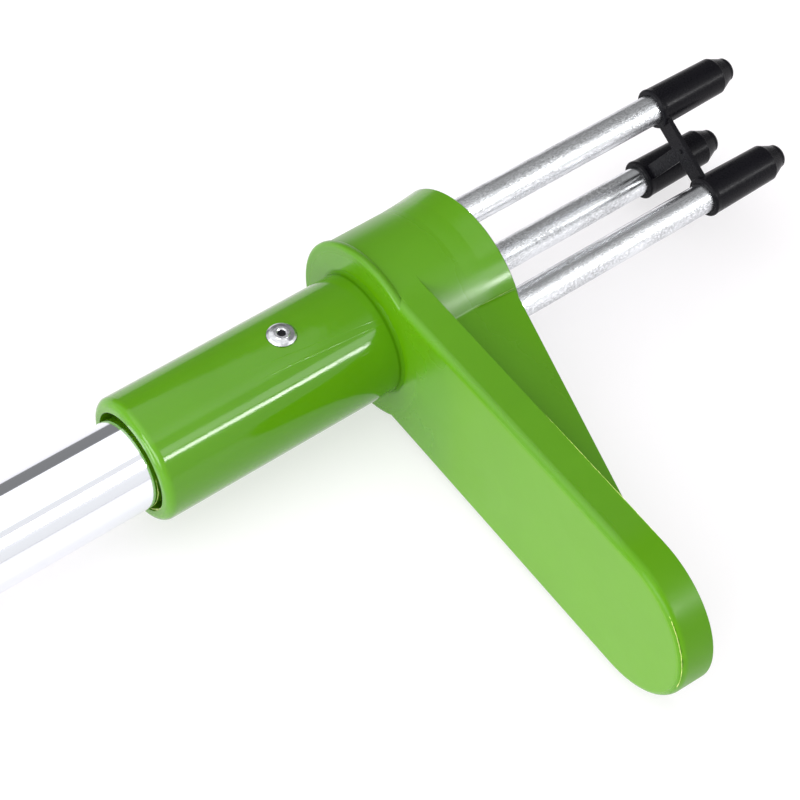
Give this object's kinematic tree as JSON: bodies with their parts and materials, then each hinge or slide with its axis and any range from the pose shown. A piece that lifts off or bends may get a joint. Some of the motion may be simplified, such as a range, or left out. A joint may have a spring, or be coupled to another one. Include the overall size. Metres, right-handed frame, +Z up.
{
  "type": "stand-up weed puller",
  "caption": "Long-handled weed puller: metal shaft, T-handle with soft grips, step-on plastic pedal head and steel tines under pull-off rubber caps.",
  "frame": {"origin": "bottom centre of the bounding box, on the plane that the tool lies on", "axes": "+X along the shaft from the T-handle to the tine points, -Y the way the pedal points, +Z up"},
  "size_m": [0.99, 0.2632, 0.0526],
  "materials": {
    "green_plastic": "glossy moulded",
    "anodised_aluminium": "bright, drawn",
    "zinc_steel": "zinc plated, mottled",
    "plate_steel": "zinc plated",
    "screw_steel": "zinc plated",
    "bar_steel": "drawn",
    "rivet_aluminium": "bright",
    "mandrel_steel": "broken wire end",
    "cap_rubber": "satin moulded",
    "grip_rubber": "matte, ringed",
    "black_plastic": "fine texture"
  },
  "bodies": {
    "tool": {"shaft_tube": "anodised_aluminium", "head_body": "green_plastic", "tine_plate": "plate_steel", "tine_upper": "zinc_steel", "tine_lower": "zinc_steel", "tine_pedal_side": "zinc_steel", "plate_screws": "screw_steel", "head_rivet": "rivet_aluminium", "head_rivet_mandrel": "mandrel_steel", "handle_rivet": "rivet_aluminium", "handle_rivet_mandrel": "mandrel_steel", "handle_hub": "green_plastic", "hang_eye": "black_plastic", "crossbar": "bar_steel", "crossbar_screw": "screw_steel", "grip_left": "grip_rubber", "grip_right": "grip_rubber", "grip_cap_left": "green_plastic", "grip_cap_right": "green_plastic"},
    "caps": {"cap_set": "cap_rubber"}
  },
  "joints": [
    {"name": "cap_slide", "type": "slide", "parent": "tool", "child": "caps", "axis": [1, 0, 0], "range_m": [0, 0.044]}
  ]
}
